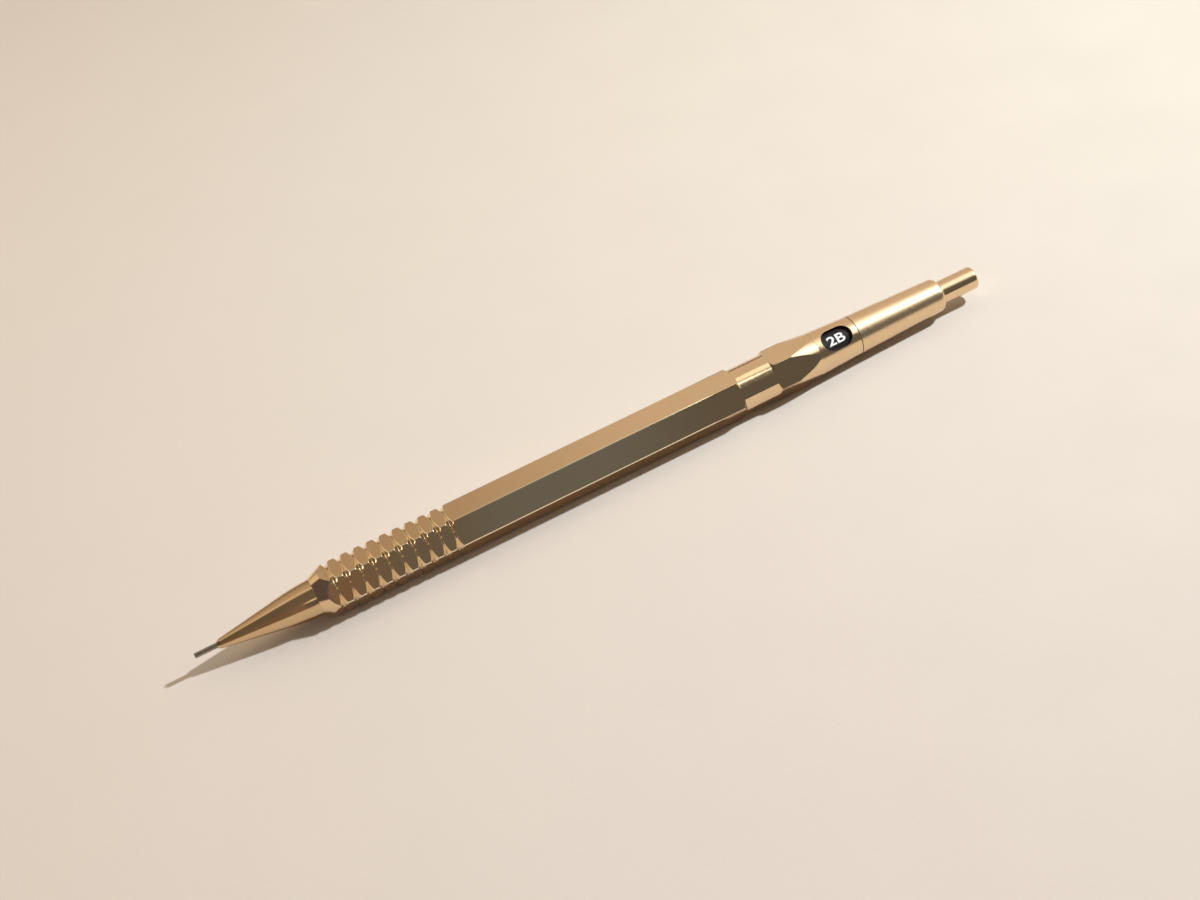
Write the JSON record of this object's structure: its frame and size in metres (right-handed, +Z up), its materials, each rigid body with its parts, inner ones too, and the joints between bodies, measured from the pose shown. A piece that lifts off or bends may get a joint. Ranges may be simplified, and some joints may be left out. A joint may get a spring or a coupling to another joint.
{
  "type": "mechanical pencil",
  "caption": "Slim hexagonal metal mechanical pencil with conical nose, grooved grip, clip groove, lead grade window, turning rear sleeve and push button.",
  "frame": {"origin": "on the surface that the pencil lies on, under the middle of its length", "axes": "+X along the pencil from the writing tip to the push button, +Z up from the barrel flat that it rests on, grade window turned towards -Y and up"},
  "size_m": [0.1446, 0.0088, 0.0078],
  "materials": {
    "gold_metal": "polished warm gold plating on brass",
    "sleeve_steel": "drawn steel tube",
    "plain_brass": "turned brass",
    "spring_steel": "drawn spring wire",
    "black_plastic": "satin black with printed white grades",
    "tube_plastic": "natural moulded tube",
    "black_rubber": "moulded rubber",
    "white_eraser": "matte soft vinyl",
    "graphite": "polymer bound graphite with a dull sheen"
  },
  "bodies": {
    "pencil_body": {"barrel": "gold_metal", "nose_cone": "gold_metal", "guide_sleeve": "sleeve_steel", "lead_retainer": "black_rubber", "chuck_housing": "plain_brass", "return_spring": "spring_steel"},
    "push_rod": {"lead_tube": "tube_plastic", "tube_connector": "plain_brass", "chuck": "plain_brass", "eraser": "white_eraser", "eraser_ferrule": "plain_brass", "cleaning_needle": "sleeve_steel", "spare_lead_1": "graphite", "spare_lead_2": "graphite", "spare_lead_3": "graphite"},
    "button_cap": {"push_button": "gold_metal"},
    "clutch": {"clutch_ring": "plain_brass"},
    "working_lead": {"lead": "graphite"},
    "grade_selector": {"end_sleeve": "gold_metal", "grade_drum": "black_plastic", "snap_ring": "spring_steel", "friction_ring": "black_rubber"}
  },
  "joints": [
    {"name": "button_press", "type": "slide", "parent": "pencil_body", "child": "push_rod", "axis": [-1, 0, 0], "range_m": [0, 0.0025], "stiffness_N_per_m": 1200, "springref_m": -0.003, "deforming": ["return_spring"]},
    {"name": "clutch_slide", "type": "slide", "parent": "pencil_body", "child": "clutch", "axis": [-1, 0, 0], "range_m": [0, 0.0008]},
    {"name": "lead_feed", "type": "slide", "parent": "pencil_body", "child": "working_lead", "axis": [-1, 0, 0], "range_m": [0, 0.0008]},
    {"name": "cap_pull", "type": "slide", "parent": "push_rod", "child": "button_cap", "axis": [1, 0, 0], "range_m": [0, 0.01]},
    {"name": "grade_turn", "type": "hinge", "parent": "pencil_body", "child": "grade_selector", "pos_m": [0.048, 0, 0.00388], "axis": [1, 0, 0], "continuous": true}
  ],
  "couplings": [
    {"joint": "clutch_slide", "follows": "button_press", "ratio": 0.32},
    {"joint": "lead_feed", "follows": "button_press", "ratio": 0.32}
  ]
}
